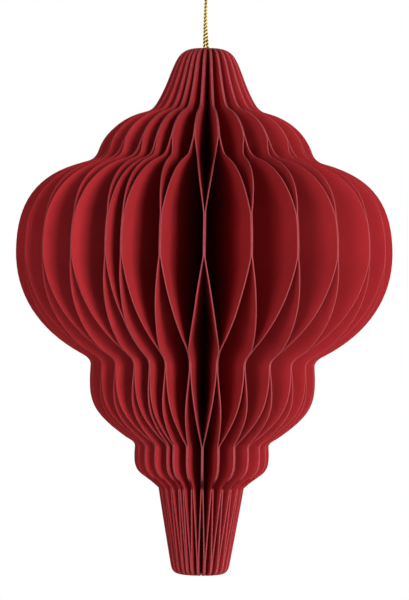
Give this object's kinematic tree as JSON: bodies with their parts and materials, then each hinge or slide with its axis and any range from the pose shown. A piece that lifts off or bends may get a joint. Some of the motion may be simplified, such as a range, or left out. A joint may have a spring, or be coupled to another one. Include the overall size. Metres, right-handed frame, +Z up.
{
  "type": "paper honeycomb ornament",
  "caption": "Hanging paper ornament in the shape of a stepped finial: a full ring of upright die-cut leaves glued into honeycomb cells, on a thin gold cord loop.",
  "frame": {"origin": "the point that the loop of cord hangs from, on the axis of the ring of leaves, 22 mm over their top edge", "axes": "+Z up along the axis of the ring, towards the loop; -Y is the side that the picture shows; +X to its right"},
  "size_m": [0.107, 0.1075, 0.173],
  "materials": {
    "red_paper": "matte uncoated stock, dyed through",
    "gold_cord": "twisted metallic yarn"
  },
  "bodies": {
    "root": {"leaf_01": "red_paper", "leaf_02": "red_paper", "leaf_03": "red_paper", "leaf_04": "red_paper", "leaf_05": "red_paper", "leaf_06": "red_paper", "leaf_07": "red_paper", "leaf_08": "red_paper", "leaf_09": "red_paper", "leaf_10": "red_paper", "leaf_11": "red_paper", "leaf_12": "red_paper", "leaf_13": "red_paper", "leaf_14": "red_paper", "leaf_15": "red_paper", "leaf_16": "red_paper", "leaf_17": "red_paper", "leaf_18": "red_paper", "leaf_19": "red_paper", "leaf_20": "red_paper", "leaf_21": "red_paper", "leaf_22": "red_paper", "leaf_23": "red_paper", "leaf_24": "red_paper", "leaf_25": "red_paper", "leaf_26": "red_paper", "leaf_27": "red_paper", "leaf_28": "red_paper", "leaf_29": "red_paper", "leaf_30": "red_paper", "leaf_31": "red_paper", "leaf_32": "red_paper", "leaf_33": "red_paper", "leaf_34": "red_paper", "leaf_35": "red_paper", "leaf_36": "red_paper", "leaf_37": "red_paper", "leaf_38": "red_paper", "leaf_39": "red_paper", "leaf_40": "red_paper", "leaf_41": "red_paper", "leaf_42": "red_paper", "leaf_43": "red_paper", "leaf_44": "red_paper", "leaf_45": "red_paper", "leaf_46": "red_paper", "leaf_47": "red_paper", "leaf_48": "red_paper", "leaf_49": "red_paper", "leaf_50": "red_paper", "leaf_51": "red_paper", "leaf_52": "red_paper", "leaf_53": "red_paper", "leaf_54": "red_paper", "hanging_cord": "gold_cord", "cord_knot": "gold_cord"}
  },
  "joints": []
}
